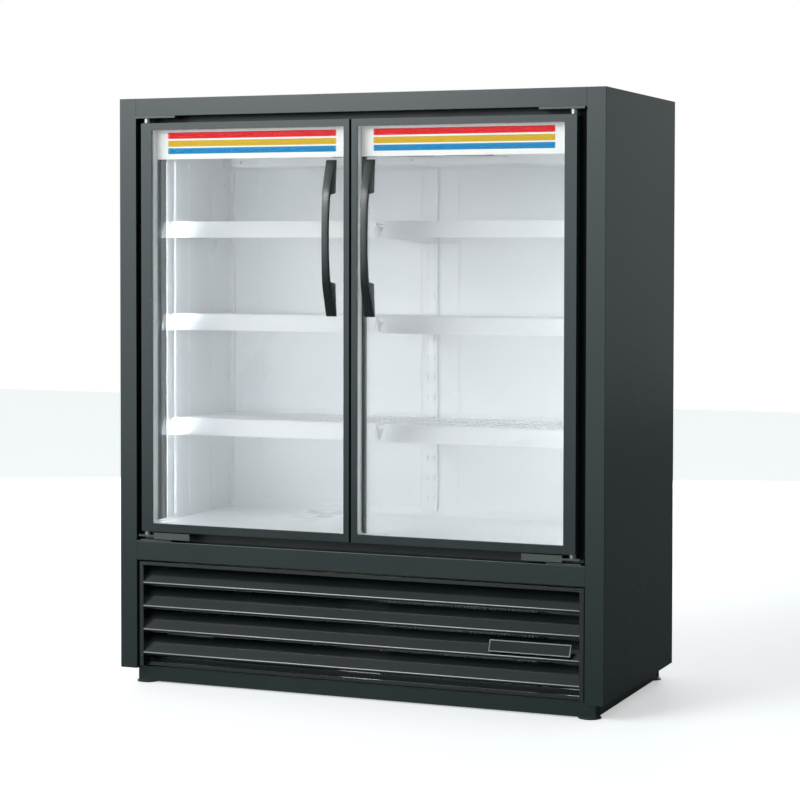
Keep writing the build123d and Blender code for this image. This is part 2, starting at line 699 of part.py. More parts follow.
def compressor():
    """Hermetic compressor: domed shell, foot plate, grommets, terminal box and stubs."""
    z0, z1 = COMP_Z
    middle = (z0 + z1) / 2
    shell = rod_z(COMP_X, COMP_D, z0, z1, COMP_R)
    shell = fillet(shell.edges().group_by(Axis.Z)[-1], COMP_DOME)
    shell += rod_z(COMP_X, COMP_D, middle - COMP_SEAM, middle + COMP_SEAM, COMP_R + COMP_SEAM)
    x, d, t = COMP_FOOT
    parts = shell + block(COMP_X - x, COMP_X + x, COMP_D - d, COMP_D + d, z0 - t, z0)
    x, d, r = COMP_MOUNT
    for sx in (-1, 1):
        for sy in (-1, 1):
            parts += rod_z(COMP_X + sx * x, COMP_D + sy * d, BODY_Z + TRAY_T, z0 + t, r)
    out, half, low, high = COMP_TERMINAL
    side = COMP_X + COMP_R
    parts += block(side - TUBE_OUT, side + out, COMP_D - half, COMP_D + half, z0 + low, z0 + high)
    low, out = COMP_STUBS
    parts += rod_x(COMP_X - COMP_R - low, COMP_X - COMP_R + TUBE_OUT, COMP_D + low / 2, z0 + high, COMP_STUB_R)
    return parts + rod_y(COMP_X + low / 2, COMP_D - COMP_R - out, COMP_D - COMP_R + TUBE_OUT, z0 + low, COMP_STUB_R)


def condenser_coil():
    """Front condenser: fin pack, end plates and the return bends of its tubes."""
    x0, x1 = CONDENSER_X
    d0, d1 = CONDENSER_D
    z0, z1 = CONDENSER_Z
    t, e = CONDENSER_PLATE, CONDENSER_EDGE
    coil = finned(x0 + t, x1 - t, d0 + e, d1 - e, z0 + e, z1 - e, CONDENSER_FINS)
    coil += block(x0, x0 + t, d0, d1, z0, z1)
    coil += block(x1 - t, x1, d0, d1, z0, z1)
    coil += block(x0, x1, d0, d1, BODY_Z + TRAY_T, z0)
    coil += block(x0, x1, d0 + e, d1 - e, z0, z0 + e)
    pitch = (z1 - z0) / CONDENSER_TUBES
    d = (d0 + d1) / 2
    bends = []
    for i in range(CONDENSER_TUBES):
        z = z0 + pitch * (i + 0.5)
        bends.append(rod_x(x1, x1 + TUBE_OUT, d, z, TUBE_R))
        if i % 2 == 0:
            bends.append(rod_z(x1 + TUBE_OUT, d, z, z + pitch, TUBE_R))
    return coil.fuse(*bends)


def fan_shroud():
    """Shroud behind the condenser, with its ring, motor bar, motor and shaft."""
    x0, x1 = CONDENSER_X
    z0, z1 = CONDENSER_Z
    d0, d1, t = CONDENSER_D[1], SHROUD_D, SHROUD_T
    inner, outer = SHROUD_RING
    thick, half = MOTOR_BAR
    box = block(x0, x1, d0, d1 + t, z0, z1) - block(x0 + t, x1 - t, d0, d1, z0 + t, z1 - t)
    box += rod_y(FAN_X, d1, SHROUD_BACK, FAN_Z, outer)
    box -= rod_y(FAN_X, d1, SHROUD_BACK, FAN_Z, inner)
    x = (inner + outer) / 2
    box += block(FAN_X - x, FAN_X + x, SHROUD_BACK - thick, SHROUD_BACK, FAN_Z - half, FAN_Z + half)
    box += rod_y(FAN_X, *MOTOR_D, FAN_Z, MOTOR_R)
    box += rod_y(FAN_X, FAN_HUB_D[0] + FAN_CAP, MOTOR_D[0], FAN_Z, FAN_SHAFT_R)
    p = MOTOR_POST
    return box + block(FAN_X - p, FAN_X + p, MOTOR_D[0] + p, MOTOR_D[1] - p, BODY_Z + TRAY_T, FAN_Z)


def condenser_fan():
    """Axial fan that draws air through the condenser."""
    d0, d1 = FAN_HUB_D
    hub = Cylinder(FAN_HUB_R, d1 - d0)
    fan = hub.fuse(*blades(FAN_BLADES, FAN_HUB_R - FAN_CAP, FAN_R, FAN_CHORD, FAN_BLADE_T))
    fan -= Pos(0, 0, -FAN_CAP / 2) * Cylinder(FAN_SHAFT_R + SHAFT_CLEAR, d1 - d0)
    return Pos(FAN_X, FRONT_Y + (d0 + d1) / 2, FAN_Z) * (Rot(90, 0, 0) * fan)


def electrical_box():
    """Sheet box for the controller, with a screwed lid and a cable gland."""
    x0, x1 = EBOX_X
    d0, d1 = EBOX_D
    z0, z1 = EBOX_Z
    lid = EBOX_LID
    box = block(x0, x1, d0, d1, z0, z1) + block(x0 - lid, x1 + lid, d0 - lid, d0, z0, z1 + lid)
    for x in (x0 + EBOX_SCREW_IN, x1 - EBOX_SCREW_IN):
        for z in (z0 + EBOX_SCREW_IN, z1 - EBOX_SCREW_IN):
            box += rod_y(x, d0 - 2 * lid, d0 - lid, z, EBOX_SCREW_R)
    return box + rod_y((x0 + x1) / 2, d1, d1 + GLAND_OUT, (z0 + z1) / 2, GLAND_R)


def power_inlet():
    """Flush appliance inlet in the rear skin."""
    w, h = INLET_W / 2, INLET_H / 2
    d, t = DEPTH - SHEET, INLET_WALL
    wide, high, thick = INLET_FLANGE
    body = block(INLET_X - w, INLET_X + w, d - INLET_DEEP, DEPTH, INLET_Z - h, INLET_Z + h)
    body += block(INLET_X - w - wide, INLET_X + w + wide, d - thick, d, INLET_Z - h - high, INLET_Z + h + high)
    floor = DEPTH - INLET_RECESS
    body -= block(INLET_X - w + t, INLET_X + w - t, floor, DEPTH, INLET_Z - h + t, INLET_Z + h - t)
    w, h = INLET_PIN
    for x in INLET_PINS:
        x += INLET_X
        body += block(x - w, x + w, floor - thick, DEPTH - t, INLET_Z - h, INLET_Z + h)
    return body


# ---- grille ----
def louvre(z):
    """One straight sloping blade with a small round nose at z, filling between the end frames."""
    back, rise, t, r = LOUVRE_BACK, LOUVRE_RISE, LOUVRE_T, LOUVRE_NOSE_R
    front = GRILLE_D[0]
    with BuildSketch(Plane.YZ) as profile:
        with BuildLine():
            Line((back, z + rise), (front + 0.3 * r, z + r))
            ThreePointArc((front + 0.3 * r, z + r), (front, z - 0.2 * r), (front + 1.2 * r, z - r))
            Line((front + 1.2 * r, z - r), (front + r + t, z))
            Line((front + r + t, z), (back + t, z + rise - t))
            Line((back + t, z + rise - t), (back, z + rise))
        make_face()
    x = GRILLE_X - GRILLE_END
    return Pos(-x, FRONT_Y, 0) * extrude(profile.sketch, amount=2 * x, dir=(1, 0, 0))


def louvre_noses():
    """Heights of the louvres' noses, lowest first."""
    return [LOUVRE_Z + LOUVRE_PITCH * i for i in range(LOUVRES)]


def grille():
    """Lower air grille: four louvres between end frames, with a bar above and a set-back bar below."""
    z0, z1 = GRILLE_Z
    x, d0, d1 = GRILLE_X, *GRILLE_D
    frame = block(-x, x, d0, d1 - GRILLE_END, z1 - GRILLE_BAR, z1)
    frame += block(-x, x, d1 - 2 * GRILLE_BAR, d1 - GRILLE_END, z0, z0 + GRILLE_BAR)
    for side in (-1, 1):
        frame += block(side * x, side * (x - GRILLE_END), d0, d1, z0, z1)
    return frame.fuse(*[louvre(z) for z in louvre_noses()])


def badge():
    """Plain raised badge plate on two pins, with a lower field inside its rim."""
    x0, x1 = BADGE_X
    z0, z1 = BADGE_Z
    d0, d1 = BADGE_D
    lean, rim = BADGE_LEAN, BADGE_RIM
    plate = prism_y([(x0, z0), (x1, z0), (x1 + lean, z1), (x0 + lean, z1)], d0, d1)
    plate -= prism_y([(x0 + rim, z0 + rim), (x1 - rim, z0 + rim), (x1 + lean - rim, z1 - rim),
                      (x0 + lean + rim, z1 - rim)], d0, d0 + rim / 2)
    z = z0 + (z1 - z0) * 0.7
    for x in (x0 + BADGE_PIN_IN, x1 - BADGE_PIN_IN):
        plate += rod_y(x, d1, BADGE_PIN_BACK, z, BADGE_PIN_R)
    return plate - louvre(louvre_noses()[1])


# ---- hinges ----
def hinge_brackets():
    """Top plates under the header and raised bottom brackets on the sill."""
    top = block(-TOP_PLATE_X[1], -TOP_PLATE_X[0], PLATE_FRONT, RAIL_D, HEADER_Z - TOP_PLATE_T, HEADER_Z)
    z = LOW_PLATE_Z
    low = block(-LOW_PLATE_X[1], -LOW_PLATE_X[0], PLATE_FRONT, PLATE_BACK, z, z + LOW_PLATE_T)
    low += block(-LOW_LIP_X, -LOW_PLATE_X[0], PLATE_FRONT, PLATE_FRONT + LOW_LIP_T, *LOW_LIP_Z)
    low += block(-LOW_FOOT_X[1], -LOW_FOOT_X[0], SHEET, PLATE_BACK, SILL_Z1, SILL_Z1 + LOW_FOOT_T)
    low += block(-LOW_FOOT_X[1], -LOW_FOOT_X[0], PLATE_BACK - LOW_PLATE_T, PLATE_BACK, SILL_Z1, z + LOW_PLATE_T)
    return group(top, low, mirror(top, about=Plane.YZ), mirror(low, about=Plane.YZ))


def hinge_pins():
    """Pivot pins and collars above and below each door."""
    top_z = HEADER_Z - TOP_PLATE_T
    low_z = LOW_PLATE_Z + LOW_PLATE_T
    top = rod_z(-PIVOT_X, PIVOT_D, DOOR_Z1 - PIN_REACH, top_z, PIN_R)
    top += rod_z(-PIVOT_X, PIVOT_D, DOOR_Z1 + COLLAR_GAP, top_z, COLLAR_R)
    low = rod_z(-PIVOT_X, PIVOT_D, low_z, DOOR_Z0 + PIN_REACH, PIN_R)
    low += rod_z(-PIVOT_X, PIVOT_D, low_z, DOOR_Z0 - COLLAR_GAP, COLLAR_R)
    return group(top, low, mirror(top, about=Plane.YZ), mirror(low, about=Plane.YZ))


# ---- left door (the right one is its mirror) ----
MEET_X = -DOOR_GAP / 2
OUT = [(-DOOR_X, DOOR_Z0), (MEET_X, DOOR_Z0), (MEET_X, DOOR_Z1), (-DOOR_X, DOOR_Z1)]
GLASS_X = (STILE_HINGE - DOOR_X, MEET_X - STILE_MEET)
GLASS_Z = (DOOR_Z0 + RAIL_BOTTOM, DOOR_Z1 - RAIL_TOP)
LIP = [(GLASS_X[0], GLASS_Z[0]), (GLASS_X[1], GLASS_Z[0]), (GLASS_X[1], GLASS_Z[1]), (GLASS_X[0], GLASS_Z[1])]


def sight_area(d0, d1):
    """Block the shape of the glass, with its two bottom corners rounded."""
    body = block(*GLASS_X, d0, d1, *GLASS_Z)
    low = body.edges().filter_by(Axis.Y).group_by(Axis.Z)[0]
    return fillet(low, RING_CORNER)


def door_frame():
    """Four mitred members with a front lip, a glazing rebate and hinge bores."""
    ring = block(-DOOR_X, MEET_X, -DOOR_PROUD, DOOR_BACK, DOOR_Z0, DOOR_Z1)
    ring -= block(*GLASS_X, -DOOR_PROUD, DOOR_BACK, *GLASS_Z)
    t = RING_T
    ring -= block(GLASS_X[0] - t, GLASS_X[1] + t, LIP_T - DOOR_PROUD, DOOR_BACK, GLASS_Z[0] - t, GLASS_Z[1] + t)
    g0 = LIP_T - DOOR_PROUD
    ring -= block(-DOOR_X, GROOVE_T - DOOR_X, g0, g0 + GROOVE_W, DOOR_Z0, DOOR_Z1)
    bore = PIN_R + PIN_CLEAR
    ring -= rod_z(-PIVOT_X, PIVOT_D, DOOR_Z0, DOOR_Z0 + BORE_REACH, bore)
    ring -= rod_z(-PIVOT_X, PIVOT_D, DOOR_Z1 - BORE_REACH, DOOR_Z1, bore)
    members = []
    for i in range(4):
        j = (i + 1) % 4
        wedge = prism_y([OUT[i], OUT[j], LIP[j], LIP[i]], -DOOR_PROUD, DOOR_BACK)
        members.append(ring & wedge)
    return group(*members)


def glazing_ring():
    """White edge ring round the glass, in four lengths."""
    d0, d1, t = LIP_T - DOOR_PROUD, RING_BACK, RING_T
    x0, x1 = GLASS_X[0] - t, GLASS_X[1] + t
    z0, z1 = GLASS_Z[0] - t, GLASS_Z[1] + t
    ring = block(x0, x1, d0, d1, z0, z1) - sight_area(d0, d1)
    low = GLASS_Z[0] + RING_CORNER
    middle = (x0 + x1) / 2
    cuts = [block(x0, x1, d0, d1, z0, low), block(x0, x1, d0, d1, GLASS_Z[1], z1),
            block(x0, middle, d0, d1, low, GLASS_Z[1]), block(middle, x1, d0, d1, low, GLASS_Z[1])]
    return group(*[ring & cut for cut in cuts])


def glass():
    """Outer and inner panes."""
    return group(*[sight_area(d, d + PANE_T) for d in PANE_D])


def sign():
    """Translucent strip on the inner pane, across the top of the glass."""
    d = PANE_D[1] + PANE_T
    return block(*GLASS_X, d, d + SIGN_T, SIGN_Z, GLASS_Z[1])


def gasket():
    """Soft seal in four lengths round the back of the door."""
    d0, d1 = DOOR_BACK, GASKET_BACK
    x0, x1 = -GASKET_HINGE[0], -GASKET_MEET[0]
    z0, z1, z2, z3 = GASKET_Z
    return group(block(x0, -GASKET_HINGE[1], d0, d1, z1, z2), block(-GASKET_MEET[1], x1, d0, d1, z1, z2),
                 block(x0, x1, d0, d1, z0, z1), block(x0, x1, d0, d1, z2, z3))


def handle():
    """Bowed pull with wide feet on the glass and a slimmer grip standing clear."""
    z0, z1 = HANDLE_Z0, HANDLE_Z1
    mid = (z0 + z1) / 2
    base = PANE_D[0]
    out = HANDLE_OUT
    rise = [(0, 0.17), (26, 0.43), (45, 0.60), (62, 0.755), (74, 0.84), (95, 0.92)]
    low = [(-out * f, z0 + s) for s, f in rise]
    high = [(-out * f, z1 - s) for s, f in reversed(rise)]
    foot = HANDLE_FOOT
    neck = foot + 3.0
    back = GRIP_T - out * 0.86
    with BuildSketch(Plane.YZ) as side:
        with BuildLine():
            Spline(*low, (-out, mid), *high)
            Line(high[-1], (base, z1))
            Line((base, z1), (base, z1 - foot))
            Line((base, z1 - foot), (back, z1 - neck))
            Spline((back, z1 - neck), (GRIP_T - out, mid), (back, z0 + neck))
            Line((back, z0 + neck), (base, z0 + foot))
            Line((base, z0 + foot), (base, z0))
            Line((base, z0), low[0])
        make_face()
    bow = extrude(side.sketch, amount=HANDLE_END_W / 2, both=True, dir=(1, 0, 0))
    e, m = HANDLE_END_W / 2, HANDLE_MID_W / 2
    with BuildSketch(Plane.XZ) as face:
        with BuildLine():
            Spline((-e, z0), (-m, mid), (-e, z1), tangents=((0.12, 1), (-0.12, 1)))
            Line((-e, z1), (e, z1))
            Spline((e, z1), (m, mid), (e, z0), tangents=((-0.12, -1), (0.12, -1)))
            Line((e, z0), (-e, z0))
        make_face()
    waist = Pos(0, -2 * out, 0) * extrude(face.sketch, amount=4 * out, dir=(0, 1, 0))
    pull = bow & waist
    return Pos(-HANDLE_X, FRONT_Y, 0) * pull


# ---- export ----
NODES = {
    "base_frame": base_frame(),
    "levelling_feet": levelling_feet(),
    "side_panel_left": side_panel(),
    "side_panel_right": mirrored(side_panel()),
    "top_panel": top_panel(),
    "back_panel": back_panel(),
    "post_left": post(),
    "post_right": mirrored(post()),
    "header_rail": header_rail(),
    "sill_rail": sill_rail(),
    "jamb_frame": jamb_frame(),
    "centre_mullion": centre_mullion(),
    "liner_left": liner_side(),
    "liner_right": mirrored(liner_side()),
    "liner_back": liner_back(),
    "liner_top": liner_flat(CEILING_Z),
    "liner_floor": liner_flat(FLOOR_Z - LINER_T),
    "foam_insulation": foam_insulation(),
    "lamp_housing_left": lamp_housing(),
    "lamp_housing_right": mirrored(lamp_housing()),
    "lamp_lenses": lamp_lenses(),
    "pilasters": pilasters(),
    "price_strips_left": price_strips(),
    "price_strips_right": mirrored(price_strips()),
    "shelf_arms": shelf_arms(),
    "evaporator_housing": evaporator_housing(),
    "evaporator_coil": evaporator_coil(),
    "evaporator_fan_left": evaporator_fan(-EVAP_FAN_X),
    "evaporator_fan_right": evaporator_fan(EVAP_FAN_X),
    "thermostat_dial": thermostat_dial(),
    "light_switch": light_switch(),
    "condensing_tray": condensing_tray(),
    "compressor": compressor(),
    "condenser_coil": condenser_coil(),
    "fan_shroud": fan_shroud(),
    "condenser_fan": condenser_fan(),
    "electrical_box": electrical_box(),
    "power_inlet": power_inlet(),
    "grille": grille(),
    "badge": badge(),
    "hinge_brackets": hinge_brackets(),
    "hinge_pins": hinge_pins(),
}
for level, height in zip(("low", "middle", "high"), SHELF_Z):
    NODES[f"shelf_left_{level}"] = shelf(height)
    NODES[f"shelf_right_{level}"] = mirrored(shelf(height))
for make in (door_frame, glazing_ring, glass, sign, gasket, handle):
    NODES[f"{make.__name__}_left"] = make()
    NODES[f"{make.__name__}_right"] = mirrored(make())

os.makedirs("parts", exist_ok=True)
for name, shape in NODES.items():
    export_step(shape, f"parts/{name}.step")
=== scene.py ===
import json
import math

import bmesh
import bpy
from mathutils import Matrix, Vector


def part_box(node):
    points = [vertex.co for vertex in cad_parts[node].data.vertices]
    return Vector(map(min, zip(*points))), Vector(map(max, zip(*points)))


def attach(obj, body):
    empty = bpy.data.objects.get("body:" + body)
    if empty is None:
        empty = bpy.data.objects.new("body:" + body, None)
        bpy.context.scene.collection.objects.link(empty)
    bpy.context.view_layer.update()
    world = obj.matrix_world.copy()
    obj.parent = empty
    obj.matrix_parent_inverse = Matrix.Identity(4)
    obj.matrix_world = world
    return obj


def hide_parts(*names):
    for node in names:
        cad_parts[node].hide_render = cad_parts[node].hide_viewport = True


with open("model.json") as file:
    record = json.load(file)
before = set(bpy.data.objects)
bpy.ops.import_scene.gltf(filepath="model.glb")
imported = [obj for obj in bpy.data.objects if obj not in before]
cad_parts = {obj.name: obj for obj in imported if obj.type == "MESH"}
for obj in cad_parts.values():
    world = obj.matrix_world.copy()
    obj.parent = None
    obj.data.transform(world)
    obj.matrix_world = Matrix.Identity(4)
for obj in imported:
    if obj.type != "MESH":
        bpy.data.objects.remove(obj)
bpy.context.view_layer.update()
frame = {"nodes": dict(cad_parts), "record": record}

MM = 0.001
ORIGIN = (0.0, 0.0, 0.0)
SIDES = ("left", "right")

# input and output numbers of a Mix node, for colours and for floats
MIX_FACTOR, MIX_A, MIX_B, MIX_OUT = 0, 6, 7, 2
MIX_FLOAT_A, MIX_FLOAT_B, MIX_FLOAT_OUT = 2, 3, 0

# most of a noise texture's values lie between these
NOISE_LOW, NOISE_HIGH = 0.3, 0.7


# ---- shared shader groups ----
def new_group(name, inputs, outputs):
    """A shader node group with float inputs {name: default} and outputs {name: socket type}."""
    group = bpy.data.node_groups.new(name, "ShaderNodeTree")
    for key, value in inputs.items():
        socket = group.interface.new_socket(key, in_out="INPUT", socket_type="NodeSocketFloat")
        socket.default_value = value
    for key, kind in outputs.items():
        group.interface.new_socket(key, in_out="OUTPUT", socket_type=kind)
    start = group.nodes.new("NodeGroupInput")
    end = group.nodes.new("NodeGroupOutput")
    return group, start, end


def add(tree, kind, links=None, **settings):
    """A node with its settings, and its inputs linked or set by name or number."""
    node = tree.nodes.new(kind)
    for key, value in settings.items():
        setattr(node, key, value)
    for key, value in (links or {}).items():
        socket = node.inputs[key]
        if isinstance(value, bpy.types.NodeSocket):
            tree.links.new(value, socket)
        else:
            socket.default_value = value
    return node


def maths(tree, operation, a, b=0.0, clamp=False):
    """One Math node's output."""
    links = {0: a, 1: b}
    return add(tree, "ShaderNodeMath", links, operation=operation, use_clamp=clamp).outputs[0]


def dot(tree, a, b):
    """Dot product of two directions."""
    node = add(tree, "ShaderNodeVectorMath", {0: a, 1: b}, operation="DOT_PRODUCT")
    return node.outputs["Value"]


def span(tree, value, low, high, to_low=0.0, to_high=1.0):
    """value carried from low..high to to_low..to_high, clamped."""
    links = {"Value": value, "From Min": low, "From Max": high, "To Min": to_low, "To Max": to_high}
    return add(tree, "ShaderNodeMapRange", links).outputs[0]


def noise(tree, vector, scale, detail=3.0, rough=0.5):
    """Noise texture's value."""
    links = {"Vector": vector, "Scale": scale, "Detail": detail, "Roughness": rough}
    return add(tree, "ShaderNodeTexNoise", links).outputs[0]


def place_of(tree):
    """Where a point is on its piece, in metres."""
    return add(tree, "ShaderNodeTexCoord").outputs["Object"]


def make_worn_edges():
    """Rounds sharp edges in the shading and masks them, broken up by noise."""
    group, start, end = new_group("worn_edges", {"Width": 0.001, "Breakup": 90.0},
                                  {"Mask": "NodeSocketFloat", "Normal": "NodeSocketVector"})
    width = start.outputs["Width"]
    soft = add(group, "ShaderNodeBevel", {"Radius": width}, samples=4).outputs[0]
    flat = add(group, "ShaderNodeNewGeometry").outputs["Normal"]
    bend = maths(group, "SUBTRACT", 1.0, dot(group, soft, flat), clamp=True)
    chips = noise(group, place_of(group), start.outputs["Breakup"], 4.0, 0.65)
    bend_low, bend_high = 0.04, 0.25
    chip_low, chip_high = 0.42, 0.62
    mask = maths(group, "MULTIPLY", span(group, bend, bend_low, bend_high),
                 span(group, chips, chip_low, chip_high))
    group.links.new(mask, end.inputs["Mask"])
    group.links.new(soft, end.inputs["Normal"])
    return group


def make_surface_variation():
    """Slow blotches, fine grain and thin upright streaks for colour, roughness and bump."""
    outputs = dict.fromkeys(("Blotches", "Fine", "Streaks"), "NodeSocketFloat")
    inputs = {"Blotch": 3.0, "Grain": 900.0, "Streak": 60.0}
    group, start, end = new_group("surface_variation", inputs, outputs)
    place = place_of(group)
    streak_stretch = (1.0, 1.0, 0.04)
    upright = add(group, "ShaderNodeMapping", {"Vector": place, "Scale": streak_stretch}).outputs[0]
    for output, vector, scale, detail, rough in (("Blotches", place, "Blotch", 4.0, 0.6),
                                                 ("Fine", place, "Grain", 2.0, 0.5),
                                                 ("Streaks", upright, "Streak", 3.0, 0.6)):
        value = noise(group, vector, start.outputs[scale], detail, rough)
        group.links.new(value, end.inputs[output])
    return group


def make_settled_dust():
    """Thin dust on faces that look up, uneven from place to place."""
    group, start, end = new_group("settled_dust", {"Amount": 0.3, "Scale": 14.0},
                                  {"Mask": "NodeSocketFloat"})
    normal = add(group, "ShaderNodeNewGeometry").outputs["Normal"]
    up = add(group, "ShaderNodeSeparateXYZ", {0: normal}).outputs["Z"]
    patch = noise(group, place_of(group), start.outputs["Scale"], 5.0, 0.62)
    up_from, patch_low, patch_high = 0.6, 0.35, 0.75
    amount = maths(group, "MULTIPLY", span(group, up, up_from, 1.0),
                   span(group, patch, patch_low, patch_high))
    group.links.new(maths(group, "MULTIPLY", amount, start.outputs["Amount"]), end.inputs["Mask"])
    return group


WORN = make_worn_edges()
VARIED = make_surface_variation()
DUSTY = make_settled_dust()

DUST_COLOUR = (0.42, 0.40, 0.37)
DUST_ROUGHENS = 0.4
STREAK_LOW, STREAK_HIGH = 0.45, 0.75
STREAK_KEEP, STREAK_LIFT = 0.6, 0.25


# ---- materials ----
class Finish:
    """A material around one Principled BSDF."""

    def __init__(self, name, colour, rough, metal=0.0, **sockets):
        self.material = bpy.data.materials.new(name)
        self.material.use_nodes = True
        self.tree = self.material.node_tree
        self.shader = self.tree.nodes["Principled BSDF"]
        self.colour = tuple(colour) + (1.0,)
        self.shader.inputs["Base Color"].default_value = self.colour
        self.shader.inputs["Roughness"].default_value = rough
        self.shader.inputs["Metallic"].default_value = metal
        for key, value in sockets.items():
            self.shader.inputs[key.replace("_", " ")].default_value = value

    def group(self, group, **values):
        """A shared group placed in this material with its own values."""
        node = self.tree.nodes.new("ShaderNodeGroup")
        node.node_tree = group
        for key, value in values.items():
            node.inputs[key].default_value = value
        return node

    def blend(self, mask, a, b):
        """Colour a where mask is 0 and b where it is 1."""
        links = {MIX_FACTOR: mask}
        for number, value in ((MIX_A, a), (MIX_B, b)):
            plain = not isinstance(value, bpy.types.NodeSocket)
            links[number] = tuple(value)[:3] + (1.0,) if plain else value
        return add(self.tree, "ShaderNodeMix", links, data_type="RGBA").outputs[MIX_OUT]

    def bump(self, height, distance, strength=1.0, **links):
        """Raises the surface by a height over a distance in metres."""
        links.update(Height=height, Distance=distance, Strength=strength)
        self.link(add(self.tree, "ShaderNodeBump", links).outputs[0], "Normal")

    def link(self, socket, name):
        self.tree.links.new(socket, self.shader.inputs[name])


def finish(name, colour, rough, metal=0.0, shade=0.8, rough_span=0.12, blotch=3.0, grain=900.0,
           grain_height=0.00002, edge=0.0008, edge_colour=None, dust=0.0, streak=0.0, **sockets):
    """The common build-up: varied tone and roughness, fine bump, softened worn edges and dust."""
    f = Finish(name, colour, rough, metal, **sockets)
    t = f.tree
    varied = f.group(VARIED, Blotch=blotch, Grain=grain)
    blotches = varied.outputs["Blotches"]
    dark = tuple(c * shade for c in f.colour[:3])
    colour_now = f.blend(blotches, dark, f.colour)
    half = rough_span / 2
    rough_now = span(t, blotches, NOISE_LOW, NOISE_HIGH, rough - half, rough + half)
    if streak:
        lines = span(t, varied.outputs["Streaks"], STREAK_LOW, STREAK_HIGH, 0.0, streak)
        pale = tuple(min(1.0, c * STREAK_KEEP + STREAK_LIFT) for c in f.colour[:3])
        colour_now = f.blend(lines, colour_now, pale)
    worn = f.group(WORN, Width=edge)
    if edge_colour:
        colour_now = f.blend(worn.outputs["Mask"], colour_now, edge_colour)
    if dust:
        mask = f.group(DUSTY, Amount=dust).outputs["Mask"]
        colour_now = f.blend(mask, colour_now, DUST_COLOUR)
        dusty = maths(t, "MULTIPLY", mask, DUST_ROUGHENS)
        rough_now = maths(t, "ADD", rough_now, dusty, clamp=True)
    f.link(colour_now, "Base Color")
    f.link(rough_now, "Roughness")
    f.bump(varied.outputs["Fine"], grain_height, Normal=worn.outputs["Normal"])
    return f


FINISHES = {
    # satin black powder coat of the outer shell, with its fine orange peel
    "black_coat": dict(colour=(0.0065, 0.0155, 0.0160), rough=0.27, shade=0.82, rough_span=0.05,
                       blotch=1.6, grain=420.0, grain_height=0.000006, edge=0.0010, dust=0.02,
                       edge_colour=(0.030, 0.037, 0.038), Specular_IOR_Level=0.5),
    # black anodised door extrusions
    "black_frame": dict(colour=(0.0080, 0.0165, 0.0175), rough=0.25, shade=0.75, rough_span=0.08,
                        grain=700.0, grain_height=0.00001, edge=0.0007,
                        edge_colour=(0.045, 0.052, 0.054), Specular_IOR_Level=0.5),
    # white enamelled sheet of the cold space
    "white_liner": dict(colour=(0.80, 0.82, 0.83), rough=0.32, shade=0.95, grain=1200.0,
                        edge=0.0010, edge_colour=(0.62, 0.64, 0.65)),
    # white moulded ring round the glass
    "white_plastic": dict(colour=(0.82, 0.84, 0.85), rough=0.42, shade=0.95),
    # white extruded price strip
    "label_strip": dict(colour=(0.70, 0.715, 0.73), rough=0.30, shade=0.96, edge=0.0006),
    # white plastic-coated shelf wire
    "wire_white": dict(colour=(0.80, 0.81, 0.82), rough=0.35, shade=0.93, edge=0.0004),
    # grey anodised lamp extrusion
    "lamp_grey": dict(colour=(0.16, 0.17, 0.17), rough=0.38, metal=0.6, shade=0.85, edge=0.0005,
                      edge_colour=(0.35, 0.36, 0.36)),
    # near-black breaker strip round the doorway
    "jamb_plastic": dict(colour=(0.0050, 0.0090, 0.0095), rough=0.45, grain=500.0,
                         Specular_IOR_Level=0.3),
    # closed-cell insulating foam
    "foam": dict(colour=(0.80, 0.72, 0.50), rough=0.9, shade=0.85, grain=300.0,
                 grain_height=0.0006),
    # black soft seal
    "gasket": dict(colour=(0.02, 0.02, 0.02), rough=0.6, grain=600.0, grain_height=0.00005),
    # satin black moulded pull
    "handle": dict(colour=(0.0075, 0.0120, 0.0125), rough=0.30, shade=0.75, rough_span=0.08,
                   blotch=9.0, grain=1600.0, grain_height=0.00004, edge=0.0015),
    # dark painted hinge plates
    "hinge_plate": dict(colour=(0.060, 0.066, 0.067), rough=0.38, metal=0.3, edge=0.0006,
                        edge_colour=(0.22, 0.22, 0.22)),
    # zinc-plated steel
    "zinc": dict(colour=(0.34, 0.35, 0.35), rough=0.36, metal=1.0, shade=0.7, rough_span=0.2,
                 blotch=120.0, edge=0.0004),
    # black painted levelling feet and base plugs
    "foot_black": dict(colour=(0.010, 0.012, 0.012), rough=0.45, edge=0.0006, dust=0.25,
                       edge_colour=(0.12, 0.12, 0.12)),
    # black enamel of the compressor
    "compressor_black": dict(colour=(0.012, 0.012, 0.013), rough=0.25, shade=0.7, edge=0.001,
                             dust=0.5),
    # bare aluminium fins
    "coil_alu": dict(colour=(0.62, 0.63, 0.64), rough=0.38, metal=1.0, shade=0.75, edge=0.0003,
                     streak=0.3),
    # black moulded fan blades
    "fan_plastic": dict(colour=(0.02, 0.02, 0.022), rough=0.4, edge=0.0006, dust=0.3),
    # black moulded controls and inlet
    "inlet_black": dict(colour=(0.02, 0.02, 0.02), rough=0.42, shade=0.85, edge=0.0006),
    # semi-gloss black louvres
    "louvre_black": dict(colour=(0.0030, 0.0065, 0.0070), rough=0.24, rough_span=0.06,
                         grain=1500.0, grain_height=0.00001, dust=0.01, Coat_Weight=1.0,
                         Coat_Roughness=0.08, Specular_IOR_Level=0.5),
}


def lamp_lens():
    """Frosted strip that gives the light."""
    f = finish("lamp_lens", (0.95, 0.97, 1.0), 0.5, shade=0.98)
    f.shader.inputs["Emission Color"].default_value = (0.91, 0.96, 1.0, 1.0)
    f.shader.inputs["Emission Strength"].default_value = 18.0
    return f


